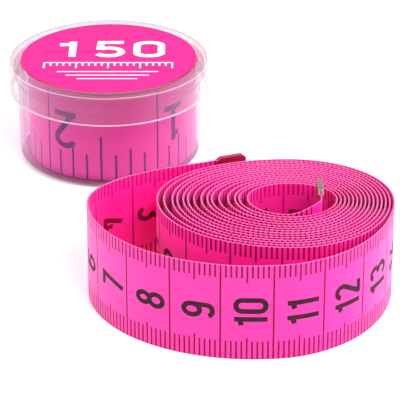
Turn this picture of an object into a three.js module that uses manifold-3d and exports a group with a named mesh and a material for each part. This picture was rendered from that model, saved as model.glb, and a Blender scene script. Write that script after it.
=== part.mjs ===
// Set of two soft measuring tapes, each a metre and a half of coated ribbon with a crimped metal tip
// on either end. One is rolled up in its round see-through case, whose lid pulls straight off, and
// the other stands beside it as a loose coil. Millimetres, +Z up, origin at the centre of the case's
// underside.
import * as THREE from "three";
import { mergeVertices } from "three/addons/utils/BufferGeometryUtils.js";
import Module from "manifold-3d";

const wasm = await Module();
wasm.setup();

// Tape
const tape_length = 1500;
const tape_width = 20;
const tape_thickness = 0.36;
const winding_gap = 0.415; // free air kept between one turn and the next where they lie closest

// Metal tip, a strip folded over the tape's end
const tip_length = 6.5;
const tip_lip = 0.2; // how far the tip stands past each edge of the tape
const tip_sheet = 0.25;
const tip_slot_clearance = 0.11; // on each face of the tape
const tip_end_clearance = 0.2; // between the tape's cut end and the fold
const tip_corner_length = 1.0;
const tip_corner_height = 0.8;

// Case
const case_radius = 20.1;
const case_wall = 0.75;
const case_floor = 0.8;
const case_foot_fillet = 2.4;
const case_inner_fillet = 0.4;
const neck_step = 0.3; // how much thinner the neck under the lid is than the body
const bead_half_width = 0.9; // of the ring round the neck that holds the lid
const bead_below_rim = 2.4;

// Lid
const lid_stand = 0.95; // how far the skirt's inside stands out from the case's side
const lid_wall = 0.95;
const lid_plate = 0.8;
const lid_skirt = 7;
const lid_corner_radius = 1.1;
const lid_inner_fillet = 0.4;
const lid_rim_width = 2.4;
const lid_rim_height = 0.4;
const seat_gap = 0.25; // between pieces that rest on one another
const label_thickness = 0.15;
const label_edge_gap = 0.3;

// Where the loose coil's eye and the tapes stand
const coil_place_x = 37.7;
const coil_place_y = -64.25;
const loose_tip_raise = 0.4; // the loose tape's tips are crimped a little high

// Loose coil, drawn round its eye. Angles are in degrees seen from above, 0 at +X and 90 at +Y.
// The tape is wound clockwise from its inner end, and its last turn springs out as a wide loop.
const loose_coil = {
  eye: { right: 8.35, left: 7.55, back: 6.14, front: 6.84 },
  slack: { right: 0.02, left: 0.545, back: 0.006, front: 0.196 },
  sway_shares: [
    0, 0, 0.25, -0.11, -0.08, 0.23, 0.33, -0.01, -0.12, -0.04, -0.12, -0.44, -0.54, -0.82, -0.58,
  ],
  facet_deg: 2,
  facet_distance: 5.85,
  rise: 2.25,
  rise_run: 10,
  loop_reach: 12.4,
  loop_rise_deg: 66,
  loop_fall_deg: 163,
  end_stand: 1.5,
  end_stand_deg: 45,
  step_deg: 10,
};

// Rolled tape in the case: a round spiral with its outer tip held off by its own thickness.
const cased_eye_radius = 6.01;
const cased_roll = {
  eye: {
    right: cased_eye_radius,
    left: cased_eye_radius,
    back: cased_eye_radius,
    front: cased_eye_radius,
  },
  slack: { right: 0, left: 0, back: 0, front: 0 },
  sway_shares: [0],
  facet_deg: 160,
  facet_distance: 4.2,
  rise: 0,
  rise_run: 16,
  loop_reach: 0,
  end_stand: 0.85,
  end_stand_deg: 120,
  step_deg: 12,
};

// Facets
const round_segments = 56;
const corner_segments = 4;
const bead_segments = 3;

const full_turn_deg = 360;
const half_turn_deg = 180;
const quarter_turn_deg = 90;
const facet_blend = 0.33; // length over which the tape starts to bend beside its stiff inner tip
const facet_least_cosine = 0.3; // past this the coil's own curve is left as it is
const facet_first_step = 0.6; // least run of tape from the inner tip's mouth to the next point
const sway_lead = 0.4; // turns by which a coil's sway runs ahead of its winding
const winding_most = 24; // turns, more than any length of tape here takes up
const winding_rounds = 40; // halvings of the search for the winding that takes up the length
const last_step_share = 0.5; // least share of a step between a coil's last two points
const cut_overrun = 1;
const printed_digits = 3;

const pitch_least = tape_thickness + winding_gap;
const tip_thickness = tape_thickness + 2 * tip_slot_clearance + 2 * tip_sheet;
const tip_height = tape_width + 2 * tip_lip;
const tip_grip = tip_length - tip_sheet - tip_end_clearance; // length of tape inside the tip

const materials = {
  clear_plastic: new THREE.MeshStandardMaterial({
    color: 0xe9dfe6,
    roughness: 0.3,
    metalness: 0,
    transparent: true,
    opacity: 0.45,
  }),
  printed_label: new THREE.MeshStandardMaterial({ color: 0xff40a5, roughness: 0.35, metalness: 0 }),
  pink_tape: new THREE.MeshStandardMaterial({ color: 0xff2fa4, roughness: 0.42, metalness: 0 }),
  tip_metal: new THREE.MeshStandardMaterial({ color: 0xa9a19c, roughness: 0.32, metalness: 1 }),
};

function radians(deg) {
  return (deg * Math.PI) / half_turn_deg;
}

// Share of the way from 1 down to 0, with level ends, as a goes from 0 to 1.
function easedFall(a) {
  return Math.cos(radians(quarter_turn_deg * Math.min(Math.max(a, 0), 1))) ** 2;
}

// Sway of a coil's left side, as a share of one pitch, after a number of turns.
function swayShare(shares, turns) {
  const last = shares.length - 1;
  const place = Math.min(turns + sway_lead, last);
  const below = Math.floor(place);
  const above = Math.min(below + 1, last);
  const blend = 1 - easedFall(place - below);
  return shares[below] * (1 - blend) + shares[above] * blend;
}

// Half the angle that the straight inner end takes up, seen from the eye.
function facetHalfDeg(coil) {
  return (Math.atan2(tip_grip / 2, coil.facet_distance) * half_turn_deg) / Math.PI;
}

// One point of a coil's centre line. wound and total are winding angles from the inner end.
function coilPoint(coil, wound, total) {
  const deg = coil.facet_deg + facetHalfDeg(coil) - wound;
  const across = Math.cos(radians(deg));
  const along = Math.sin(radians(deg));
  const turns = wound / full_turn_deg;
  const side = across > 0 ? "right" : "left";
  const end = along > 0 ? "back" : "front";
  const reachAcross = coil.eye[side] + (pitch_least + coil.slack[side]) * turns;
  const reachAlong = coil.eye[end] + (pitch_least + coil.slack[end]) * turns;
  const leftPitch = pitch_least + coil.slack.left;
  const sway = swayShare(coil.sway_shares, turns) * leftPitch * Math.max(-across, 0) ** 2;
  const x = reachAcross * across - sway;
  const y = reachAlong * along;
  const place = new THREE.Vector2(x, y);
  let radius = place.length();

  // The inner tip is straight, so the tape leaves it along a chord.
  const offMiddle = place.angle() - radians(coil.facet_deg);
  if (wound < half_turn_deg && Math.cos(offMiddle) > facet_least_cosine) {
    const chord = coil.facet_distance / Math.cos(offMiddle);
    const soft = Math.exp(-radius / facet_blend) + Math.exp(-chord / facet_blend);
    radius = -Math.log(soft) * facet_blend;
  }

  // The outer end springs away from the turns below it.
  const fromEnd = total - wound;
  if (coil.loop_reach > 0) {
    const rising = 1 - easedFall(fromEnd / coil.loop_rise_deg);
    const falling = easedFall((fromEnd - coil.loop_rise_deg) / coil.loop_fall_deg);
    radius += coil.loop_reach * (fromEnd < coil.loop_rise_deg ? rising : falling);
  }
  radius += coil.end_stand * easedFall(fromEnd / coil.end_stand_deg);
  return place.setLength(radius);
}

// Centre line of a coil: straight in its inner tip, then wound out to a total winding angle.
function coilPath(coil, total) {
  const middle = new THREE.Vector2(coil.facet_distance, 0);
  const half = new THREE.Vector2(0, tip_grip / 2);
  const points = [middle.clone().add(half), middle.sub(half)];
  points.forEach((p) => p.rotateAround(new THREE.Vector2(), radians(coil.facet_deg)));
  const [inner_end, mouth] = points;
  const leaving = mouth.clone().sub(inner_end).normalize();
  const last = Math.floor(total / coil.step_deg - last_step_share);
  for (let i = 1; i <= last; i++) {
    const point = coilPoint(coil, i * coil.step_deg, total);
    const past_mouth = point.clone().sub(mouth).dot(leaving);
    if (points.length > 2 || past_mouth > facet_first_step) points.push(point);
  }
  points.push(coilPoint(coil, total, total));
  return points;
}

function withStraightEnd(points, length) {
  const [before, last] = points.slice(-2);
  const heading = last.clone().sub(before).setLength(length);
  return [...points, last.clone().add(heading)];
}

// The outer end of a roll that lies close round a wall: its last stretch is a chord of that length.
function withChordEnd(points, length) {
  const last = points[points.length - 1];
  const radius = last.length();
  const turned = -2 * Math.asin(length / (2 * radius));
  return [...points, last.clone().rotateAround(new THREE.Vector2(), turned)];
}

function pathLength(points) {
  let length = 0;
  for (let i = 1; i < points.length; i++) length += points[i].distanceTo(points[i - 1]);
  return length;
}

// Winding angle that takes up a whole length of tape.
function windingFor(coil, length) {
  let low = full_turn_deg;
  let high = full_turn_deg * winding_most;
  for (let i = 0; i < winding_rounds; i++) {
    const middle = (low + high) / 2;
    if (pathLength(coilPath(coil, middle)) < length) low = middle;
    else high = middle;
  }
  return (low + high) / 2;
}

function distanceToSegment(p, a, b) {
  const run = b.clone().sub(a);
  const share = Math.min(Math.max(p.clone().sub(a).dot(run) / run.lengthSq(), 0), 1);
  return p.distanceTo(a.clone().addScaledVector(run, share));
}

// Least free gap between a coil's turns, measured from each point to every stretch of tape that is
// more than half a turn away from it.
function leastGap(coil, points) {
  const apart = Math.round(half_turn_deg / coil.step_deg);
  let least = Infinity;
  for (let i = 0; i < points.length; i++)
    for (let j = i + apart; j + 1 < points.length; j++)
      least = Math.min(least, distanceToSegment(points[i], points[j], points[j + 1]));
  return least - tape_thickness;
}

// Direction across the tape at each point, lengthened at a bend so that the tape keeps its thickness.
function acrossAt(points, i) {
  const before = points[Math.max(i - 1, 0)];
  const here = points[i];
  const after = points[Math.min(i + 1, points.length - 1)];
  const first = (i > 0 ? here : after).clone().sub(i > 0 ? before : here).normalize();
  const second = (i < points.length - 1 ? after : here).clone();
  second.sub(i < points.length - 1 ? here : before).normalize();
  const mean = first.clone().add(second).normalize();
  const stretch = 1 / mean.dot(first);
  return new THREE.Vector2(-mean.y, mean.x).multiplyScalar(stretch);
}

// Height of the tape's lower edge, a length along it from its inner end. That end rides up out of
// the coil, level in its metal tip.
function riseAt(coil, along) {
  return coil.rise * easedFall((along - tip_grip) / coil.rise_run);
}

// Ribbon standing on its edge along a centre line: one closed body of four sides.
function ribbonGeometry(points, coil) {
  const positions = [];
  let along = 0;
  for (let i = 0; i < points.length; i++) {
    if (i > 0) along += points[i].distanceTo(points[i - 1]);
    const half = acrossAt(points, i).multiplyScalar(tape_thickness / 2);
    const rise = riseAt(coil, along);
    for (const [sign, z] of [[-1, 0], [-1, tape_width], [1, tape_width], [1, 0]])
      positions.push(points[i].x + sign * half.x, points[i].y + sign * half.y, z + rise);
  }
  const sides = 4;
  const indices = [];
  for (let i = 0; i + 1 < points.length; i++)
    for (let k = 0; k < sides; k++) {
      const a = i * sides + k;
      const b = i * sides + ((k + 1) % sides);
      indices.push(a, b + sides, b, a, a + sides, b + sides);
    }
  const end = (points.length - 1) * sides;
  indices.push(0, 1, 2, 0, 2, 3);
  indices.push(end, end + 2, end + 1, end, end + 3, end + 2);
  const geometry = new THREE.BufferGeometry();
  geometry.setAttribute("position", new THREE.Float32BufferAttribute(positions, 3));
  geometry.setIndex(indices);
  geometry.computeVertexNormals();
  return geometry;
}

function toSolid(geometry) {
  const bare = geometry.clone();
  bare.deleteAttribute("normal");
  bare.deleteAttribute("uv");
  const merged = mergeVertices(bare);
  return new wasm.Manifold(
    new wasm.Mesh({
      numProp: 3,
      vertProperties: merged.getAttribute("position").array,
      triVerts: new Uint32Array(merged.index.array),
    }),
  );
}

function toGeometry(solid) {
  const mesh = solid.getMesh();
  const geometry = new THREE.BufferGeometry();
  geometry.setAttribute("position", new THREE.BufferAttribute(mesh.vertProperties, 3));
  geometry.setIndex(new THREE.BufferAttribute(mesh.triVerts, 1));
  const flat = geometry.toNonIndexed();
  flat.computeVertexNormals();
  return flat;
}

// Metal tip, its fold at the origin and its mouth towards -X, from z = 0 up.
function tipGeometry() {
  const outline = new THREE.Shape();
  outline.moveTo(-tip_length, tip_corner_height);
  outline.lineTo(tip_corner_length - tip_length, 0);
  outline.lineTo(-tip_corner_length, 0);
  outline.lineTo(0, tip_corner_height);
  outline.lineTo(0, tip_height - tip_corner_height);
  outline.lineTo(-tip_corner_length, tip_height);
  outline.lineTo(tip_corner_length - tip_length, tip_height);
  outline.lineTo(-tip_length, tip_height - tip_corner_height);
  outline.closePath();
  const folded = new THREE.ExtrudeGeometry(outline, { depth: tip_thickness, bevelEnabled: false });
  folded.translate(0, 0, -tip_thickness / 2);
  folded.rotateX(radians(quarter_turn_deg));

  const slot_depth = tip_length - tip_sheet + cut_overrun;
  const slot = new THREE.BoxGeometry(
    slot_depth,
    tape_thickness + 2 * tip_slot_clearance,
    tip_height + 2 * cut_overrun,
  );
  slot.translate(-tip_sheet - slot_depth / 2, 0, tip_height / 2);
  return toGeometry(toSolid(folded).subtract(toSolid(slot)));
}

// Adds a tape's two tips. raise is how far above the tape's own middle they are crimped.
function addTips(group, points, names, coil, raise) {
  const last = points.length - 1;
  const ends = [
    { at: points[0], from: points[1], rise: riseAt(coil, 0) },
    { at: points[last], from: points[last - 1], rise: 0 },
  ];
  names.forEach((name, i) => {
    const tip = new THREE.Mesh(tipGeometry(), materials.tip_metal);
    const heading = ends[i].at.clone().sub(ends[i].from).normalize();
    const fold = ends[i].at.clone().addScaledVector(heading, tip_end_clearance + tip_sheet);
    tip.name = name;
    tip.position.set(fold.x, fold.y, ends[i].rise + raise - tip_lip);
    tip.rotation.z = heading.angle();
    group.add(tip);
  });
}

function latheMesh(name, profile, material) {
  const geometry = new THREE.LatheGeometry(profile, round_segments);
  geometry.rotateX(radians(quarter_turn_deg));
  const mesh = new THREE.Mesh(geometry, material);
  mesh.name = name;
  return mesh;
}

// Rounds a profile off with an arc about (x, z). from and to are in quarter turns.
function rounded(profile, x, z, radius, from, to) {
  const steps = corner_segments * Math.abs(to - from);
  for (let i = 0; i <= steps; i++) {
    const a = radians(quarter_turn_deg * (from + ((to - from) * i) / steps));
    profile.push(new THREE.Vector2(x + radius * Math.cos(a), z + radius * Math.sin(a)));
  }
}

const roll_bottom = case_floor + seat_gap + tip_lip;
const rim_top = roll_bottom + tape_width + tip_lip;
const lid_underside = rim_top + seat_gap;
const label_seat = lid_underside + lid_plate;
const lid_top = label_seat + lid_rim_height;
const case_inner_radius = case_radius - case_wall;
const lid_inner_radius = case_radius + lid_stand;
const lid_radius = lid_inner_radius + lid_wall;
const skirt_bottom = lid_top - lid_skirt;

// Round cup: thin wall, thinner neck that the skirt covers, and a snap ring round the neck.
function caseBase() {
  const neck_radius = case_radius - neck_step;
  const neck_start = skirt_bottom - neck_step;
  const bead_z = rim_top - bead_below_rim;
  const bead_height = lid_inner_radius - seat_gap - neck_radius;
  const lip = (neck_radius - case_inner_radius) / 2;
  const profile = [new THREE.Vector2(0, 0)];
  const foot_x = case_radius - case_foot_fillet;
  rounded(profile, foot_x, case_foot_fillet, case_foot_fillet, -1, 0);
  profile.push(new THREE.Vector2(case_radius, neck_start));
  profile.push(new THREE.Vector2(neck_radius, neck_start + neck_step));
  for (let i = 0; i <= 2 * bead_segments; i++) {
    const share = i / bead_segments - 1;
    const height = bead_height * Math.sqrt(1 - share * share);
    profile.push(new THREE.Vector2(neck_radius + height, bead_z + share * bead_half_width));
  }
  rounded(profile, neck_radius - lip, rim_top - lip, lip, 0, 2);
  const inner_x = case_inner_radius - case_inner_fillet;
  rounded(profile, inner_x, case_floor + case_inner_fillet, case_inner_fillet, 0, -1);
  profile.push(new THREE.Vector2(0, case_floor));
  return latheMesh("case_base", profile, materials.clear_plastic);
}

// Pull-off lid: flat plate in a raised rounded rim, with a skirt over the case's neck.
function caseLid() {
  const rim_inner = lid_radius - lid_rim_width;
  const profile = [new THREE.Vector2(0, lid_underside)];
  const inner_x = lid_inner_radius - lid_inner_fillet;
  rounded(profile, inner_x, lid_underside - lid_inner_fillet, lid_inner_fillet, 1, 0);
  profile.push(new THREE.Vector2(lid_inner_radius, skirt_bottom));
  profile.push(new THREE.Vector2(lid_radius, skirt_bottom));
  const corner_x = lid_radius - lid_corner_radius;
  rounded(profile, corner_x, lid_top - lid_corner_radius, lid_corner_radius, 0, 1);
  profile.push(new THREE.Vector2(rim_inner + lid_rim_height, lid_top));
  profile.push(new THREE.Vector2(rim_inner, label_seat));
  profile.push(new THREE.Vector2(0, label_seat));
  return latheMesh("case_lid", profile, materials.clear_plastic);
}

function lidLabel() {
  const radius = lid_radius - lid_rim_width - label_edge_gap;
  const geometry = new THREE.CylinderGeometry(radius, radius, label_thickness, round_segments);
  geometry.rotateX(radians(quarter_turn_deg));
  const label = new THREE.Mesh(geometry, materials.printed_label);
  label.name = "lid_label";
  label.position.z = label_seat + label_thickness / 2;
  return label;
}

function tape(name, points, coil, raise) {
  const group = new THREE.Group();
  const ribbon = new THREE.Mesh(ribbonGeometry(points, coil), materials.pink_tape);
  ribbon.name = name;
  group.add(ribbon);
  addTips(group, points, [name + "_inner_tip", name + "_outer_tip"], coil, raise);
  const length = pathLength(points).toFixed(printed_digits);
  const gap = leastGap(coil, points).toFixed(printed_digits);
  console.log(name + ": " + length + " mm of tape, least gap between turns " + gap + " mm");
  return group;
}

// The roll's outer tip lies within the case's wall, clear of it by the seat gap.
const tip_chord_radius = Math.hypot(
  Math.sqrt((case_inner_radius - seat_gap) ** 2 - (tip_length / 2) ** 2) - tip_thickness / 2,
  tip_grip / 2,
);
const cased_turns = (tip_chord_radius - cased_roll.end_stand - cased_eye_radius) / pitch_least;

const loose_points = withStraightEnd(
  coilPath(loose_coil, windingFor(loose_coil, tape_length - tip_grip)),
  tip_grip,
);
const cased_points = withChordEnd(coilPath(cased_roll, cased_turns * full_turn_deg), tip_grip);
cased_points.forEach((p) => p.setX(-p.x)); // this one is rolled the other way round

const loose_tape = tape("loose_tape", loose_points, loose_coil, loose_tip_raise);
loose_tape.position.set(coil_place_x, coil_place_y, 0);

const cased_tape = tape("cased_tape", cased_points, cased_roll, 0);
cased_tape.position.z = roll_bottom;

const group = new THREE.Group();
group.add(caseBase(), caseLid(), lidLabel(), cased_tape, loose_tape);

export default group;
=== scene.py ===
"""Looks of the soft tape measure set: one tape rolled in its clear case, one standing as a loose coil.

Lengths are in millimetres until a mesh is made, and the tape's route repeats the part's own formula.
"""

import math

import bpy
import numpy as np
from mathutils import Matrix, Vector


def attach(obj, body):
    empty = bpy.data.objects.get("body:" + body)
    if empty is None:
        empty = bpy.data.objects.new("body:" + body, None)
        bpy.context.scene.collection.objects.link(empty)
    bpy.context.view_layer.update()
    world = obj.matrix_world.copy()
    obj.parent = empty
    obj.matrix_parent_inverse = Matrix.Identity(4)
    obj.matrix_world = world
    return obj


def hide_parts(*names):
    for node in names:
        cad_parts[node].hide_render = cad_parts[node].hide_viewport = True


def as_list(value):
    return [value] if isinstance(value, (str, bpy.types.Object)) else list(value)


MM = 0.001
CM = 10
INCH = 25.4
FULL_TURN = 360
HALF_TURN = 180
RIGHT_ANGLE = math.pi / 2
SLIGHT = 1e-6

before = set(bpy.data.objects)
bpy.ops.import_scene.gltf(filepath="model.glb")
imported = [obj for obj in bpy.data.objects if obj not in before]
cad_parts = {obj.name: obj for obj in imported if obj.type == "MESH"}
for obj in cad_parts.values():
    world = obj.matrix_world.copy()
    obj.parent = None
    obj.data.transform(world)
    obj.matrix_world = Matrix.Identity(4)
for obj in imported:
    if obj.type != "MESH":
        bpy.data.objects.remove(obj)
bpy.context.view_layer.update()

# Tape and tip sizes, as in the part
TAPE_LENGTH = 1500
TAPE_WIDTH = 20
TAPE_HALF = 0.18  # half its thickness
PITCH = 0.775  # from turn to turn, with the least air between them
TIP_LENGTH = 6.5
TIP_LIP = 0.2
TIP_SHEET = 0.25
TIP_CLEAR = 0.11
TIP_END_CLEAR = 0.2
TIP_CORNER = (1.0, 0.8)  # length and height
TIP_GRIP = TIP_LENGTH - TIP_SHEET - TIP_END_CLEAR

# Case sizes, as in the part
CASE_RADIUS = 20.1
CASE_WALL = 0.75
CASE_FLOOR = 0.8
CASE_FOOT_FILLET = 2.4
CASE_INNER_FILLET = 0.4
NECK_STEP = 0.3
BEAD_HALF_WIDTH = 0.9
BEAD_BELOW_RIM = 2.4
SEAT_GAP = 0.25
LID_INNER_RADIUS = 21.05
LID_RADIUS = 22
LID_PLATE = 0.8
LID_SKIRT = 7
LID_CORNER = 1.1
LID_INNER_FILLET = 0.4
LID_RIM_WIDTH = 2.4
LID_RIM_HEIGHT = 0.4
LABEL_THICKNESS = 0.15
LABEL_EDGE_GAP = 0.3
ROLL_BOTTOM = CASE_FLOOR + SEAT_GAP + TIP_LIP
RIM_TOP = ROLL_BOTTOM + TAPE_WIDTH + TIP_LIP
LID_UNDERSIDE = RIM_TOP + SEAT_GAP
LABEL_SEAT = LID_UNDERSIDE + LID_PLATE
LID_TOP = LABEL_SEAT + LID_RIM_HEIGHT
SKIRT_BOTTOM = LID_TOP - LID_SKIRT

# Loose coil, as in the part
COIL_PLACE = (37.7, -64.25)
LOOSE_TIP_RAISE = 0.4
LOOSE_COIL = {
    "eye": {"right": 8.35, "left": 7.55, "back": 6.14, "front": 6.84},
    "slack": {"right": 0.02, "left": 0.545, "back": 0.006, "front": 0.196},
    "sway_shares": [
        0, 0, 0.25, -0.11, -0.08, 0.23, 0.33, -0.01, -0.12, -0.04, -0.12, -0.44, -0.54, -0.82, -0.58,
    ],
    "facet_deg": 2,
    "facet_distance": 5.85,
    "rise": 2.25,
    "rise_run": 10,
    "loop_reach": 12.4,
    "loop_rise_deg": 66,
    "loop_fall_deg": 163,
    "end_stand": 1.5,
    "end_stand_deg": 45,
    "step_deg": 10,
}

# Cased roll, as in the part, but for its last two values: this one holds the tape's whole length
CASED_EYE = 6.01
CASED_FACET_DEG = 160
CASED_FACET_DISTANCE = 4.2
CASED_END_STAND = 0.85
CASED_END_STAND_DEG = 120
CASED_SNUG = 0.35  # by which its turns stand closer to the wall
CASED_MORE_TURNS = 5

# Winding
FACET_BLEND = 0.33
FACET_LEAST_COSINE = 0.3
SWAY_LEAD = 0.4
FINE_STEP_DEG = 2.5
FINE_FIRST_STEP = 0.2
COARSE_FIRST_STEP = 0.6  # as in the part, which settles the coil's total winding
LAST_STEP_SHARE = 0.5
WINDING_MOST = 24
BOW_LEAST = 0.5
BOW_MOST = 2


# Route of the tapes
def eased_fall(a):
    """Share of the way from 1 down to 0, with level ends, as a goes from 0 to 1."""
    return math.cos(RIGHT_ANGLE * min(max(a, 0), 1)) ** 2


def sway_share(shares, turns):
    last = len(shares) - 1
    place = min(turns + SWAY_LEAD, last)
    below = int(place)
    above = min(below + 1, last)
    blend = 1 - eased_fall(place - below)
    return shares[below] * (1 - blend) + shares[above] * blend


def facet_half(distance):
    return math.degrees(math.atan2(TIP_GRIP / 2, distance))


def faceted(radius, angle, facet_deg, distance, wound):
    """The inner tip is straight, so the tape leaves it along a chord."""
    off_middle = angle - math.radians(facet_deg)
    if wound >= HALF_TURN or math.cos(off_middle) <= FACET_LEAST_COSINE:
        return radius
    chord = distance / math.cos(off_middle)
    soft = math.exp(-radius / FACET_BLEND) + math.exp(-chord / FACET_BLEND)
    return -math.log(soft) * FACET_BLEND


def loose_point(wound, total):
    coil = LOOSE_COIL
    deg = coil["facet_deg"] + facet_half(coil["facet_distance"]) - wound
    across, along = math.cos(math.radians(deg)), math.sin(math.radians(deg))
    turns = wound / FULL_TURN
    side = "right" if across > 0 else "left"
    end = "back" if along > 0 else "front"
    reach_across = coil["eye"][side] + (PITCH + coil["slack"][side]) * turns
    reach_along = coil["eye"][end] + (PITCH + coil["slack"][end]) * turns
    sway = sway_share(coil["sway_shares"], turns) * (PITCH + coil["slack"]["left"]) * max(-across, 0) ** 2
    x, y = reach_across * across - sway, reach_along * along
    angle = math.atan2(y, x)
    radius = faceted(math.hypot(x, y), angle, coil["facet_deg"], coil["facet_distance"], wound)
    from_end = total - wound
    rising = 1 - eased_fall(from_end / coil["loop_rise_deg"])
    falling = eased_fall((from_end - coil["loop_rise_deg"]) / coil["loop_fall_deg"])
    radius += coil["loop_reach"] * (rising if from_end < coil["loop_rise_deg"] else falling)
    radius += coil["end_stand"] * eased_fall(from_end / coil["end_stand_deg"])
    return radius * math.cos(angle), radius * math.sin(angle)


def cased_point(wound, total, last_radius, swell):
    """Round spiral; swell bows its radius so that the whole length fits between the eye and the wall."""
    deg = CASED_FACET_DEG + facet_half(CASED_FACET_DISTANCE) - wound
    radius = CASED_EYE + (last_radius - CASED_EYE) * (wound / total) ** swell
    angle = math.radians(deg)
    radius = faceted(radius, angle, CASED_FACET_DEG, CASED_FACET_DISTANCE, wound)
    radius += (CASED_END_STAND - CASED_SNUG) * eased_fall((total - wound) / CASED_END_STAND_DEG)
    return radius * math.cos(angle), radius * math.sin(angle)


def route(point_at, total, step, facet_deg, facet_distance, first_step):
    """Points of a coil's centre line: straight in its inner tip, then wound out."""
    turn = math.radians(facet_deg)
    turned = np.array([[math.cos(turn), -math.sin(turn)], [math.sin(turn), math.cos(turn)]])
    ends = [turned @ np.array([facet_distance, sign * TIP_GRIP / 2]) for sign in (1, -1)]
    leaving = (ends[1] - ends[0]) / np.linalg.norm(ends[1] - ends[0])
    points = list(ends)
    for i in range(1, int(total / step - LAST_STEP_SHARE) + 1):
        point = np.array(point_at(i * step, total))
        if len(points) > 2 or (point - ends[1]) @ leaving > first_step:
            points.append(point)
    points.append(np.array(point_at(total, total)))
    return np.array(points)


def length_of(points):
    return float(np.linalg.norm(np.diff(points, axis=0), axis=1).sum())


def solved(measure, low, high, wanted, rounds=40):
    """Value between low and high at which a rising measure reaches the wanted one."""
    for _ in range(rounds):
        middle = (low + high) / 2
        if measure(middle) < wanted:
            low = middle
        else:
            high = middle
    return (low + high) / 2


def loose_route():
    coil = LOOSE_COIL
    facet = coil["facet_deg"], coil["facet_distance"]
    total = solved(
        lambda t: length_of(route(loose_point, t, coil["step_deg"], *facet, COARSE_FIRST_STEP)),
        FULL_TURN,
        FULL_TURN * WINDING_MOST,
        TAPE_LENGTH - TIP_GRIP,
    )
    coarse = route(loose_point, total, coil["step_deg"], *facet, COARSE_FIRST_STEP)
    heading = coarse[-1] - coarse[-2]
    heading /= np.linalg.norm(heading)
    fine = route(loose_point, total, FINE_STEP_DEG, *facet, FINE_FIRST_STEP)
    return np.vstack([fine, fine[-1] + heading * TIP_GRIP])


def cased_route():
    inner = CASE_RADIUS - CASE_WALL - SEAT_GAP
    tip_thickness = 2 * (TAPE_HALF + TIP_CLEAR + TIP_SHEET)
    chord_radius = math.hypot(
        math.sqrt(inner**2 - (TIP_LENGTH / 2) ** 2) - tip_thickness / 2, TIP_GRIP / 2
    )
    last_radius = chord_radius - CASED_END_STAND
    turns = (last_radius - CASED_EYE) / PITCH
    total = FULL_TURN * (turns + CASED_MORE_TURNS)
    facet = CASED_FACET_DEG, CASED_FACET_DISTANCE

    def wound_with(bow):
        def at(wound, total):
            return cased_point(wound, total, last_radius + CASED_SNUG, 1 / bow)

        return route(at, total, FINE_STEP_DEG, *facet, FINE_FIRST_STEP)

    bow = solved(lambda b: length_of(wound_with(b)), BOW_LEAST, BOW_MOST, TAPE_LENGTH - TIP_GRIP)
    points = wound_with(bow)
    turned = -2 * math.asin(TIP_GRIP / (2 * chord_radius))
    c, s = math.cos(turned), math.sin(turned)
    points = np.vstack([points, np.array([[c, -s], [s, c]]) @ points[-1]])
    return points * np.array([-1, 1])


class Tape:
    """A tape's route, measured along it from its outer end, where the metal tip's fold is."""

    def __init__(self, points, place, bottom, rise=0, rise_run=1):
        self.points = points[::-1] + np.array(place)
        self.bottom = bottom
        self.rise, self.rise_run = rise, rise_run
        runs = np.linalg.norm(np.diff(self.points, axis=0), axis=1)
        self.along = np.concatenate([[0], np.cumsum(runs)])
        self.length = self.along[-1]
        headings = np.gradient(self.points, self.along, axis=0)
        headings /= np.linalg.norm(headings, axis=1)[:, None]
        centre = np.array(place)
        out = np.stack([headings[:, 1], -headings[:, 0]], axis=1)
        middle = len(out) // 2
        if out[middle] @ (self.points[middle] - centre) < 0:
            out = -out
        self.out = out

    def frame_at(self, s):
        """Centre points and outward normals at places along the tape."""
        s = np.asarray(s, float)
        xy = np.stack([np.interp(s, self.along, self.points[:, k]) for k in (0, 1)], axis=-1)
        out = np.stack([np.interp(s, self.along, self.out[:, k]) for k in (0, 1)], axis=-1)
        out /= np.linalg.norm(out, axis=-1, keepdims=True)
        return xy, out

    def rise_at(self, s):
        """The inner end rides up out of the coil, level in its metal tip."""
        share = np.clip((self.length - np.asarray(s, float) - TIP_GRIP) / self.rise_run, 0, 1)
        return self.rise * np.cos(RIGHT_ANGLE * share) ** 2

    def at(self, s, z, off):
        """Points at s along the tape, z up its width and off outward from its middle, in metres."""
        xy, out = self.frame_at(s)
        xy = xy + out * np.asarray(off, float)[..., None]
        z = np.broadcast_to(np.asarray(z, float) + self.bottom + self.rise_at(s), xy.shape[:-1])
        return np.concatenate([xy, z[..., None]], axis=-1) * MM


loose = Tape(loose_route(), COIL_PLACE, 0, LOOSE_COIL["rise"], LOOSE_COIL["rise_run"])
cased = Tape(cased_route(), (0, 0), ROLL_BOTTOM)


# Materials
def new_material(name):
    material = bpy.data.materials.new(name)
    material.use_nodes = True
    tree = material.node_tree
    return material, tree, tree.nodes["Principled BSDF"]


def set_inputs(node, **values):
    for key, value in values.items():
        node.inputs[key.replace("_", " ")].default_value = value


def link(tree, source, target):
    tree.links.new(source, target)


EVEN = (1, 1, 1)


def mapped(tree, stretch, coordinate="UV"):
    place = tree.nodes.new("ShaderNodeTexCoord")
    mapping = tree.nodes.new("ShaderNodeMapping")
    mapping.inputs["Scale"].default_value = stretch
    link(tree, place.outputs[coordinate], mapping.inputs["Vector"])
    return mapping.outputs["Vector"]


def noise(tree, vector, scale, detail=3.0, roughness=0.5):
    node = tree.nodes.new("ShaderNodeTexNoise")
    set_inputs(node, Scale=scale, Detail=detail, Roughness=roughness)
    link(tree, vector, node.inputs["Vector"])
    return node.outputs["Fac"]


def ramp(tree, value, low, high, places=(0.3, 0.7)):
    """Colour that passes from low to high as the value goes from place to place."""
    node = tree.nodes.new("ShaderNodeValToRGB")
    for element, place, colour in zip(node.color_ramp.elements, places, (low, high)):
        element.position = place
        element.color = (*colour, 1)
    link(tree, value, node.inputs["Fac"])
    return node.outputs["Color"]


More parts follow.
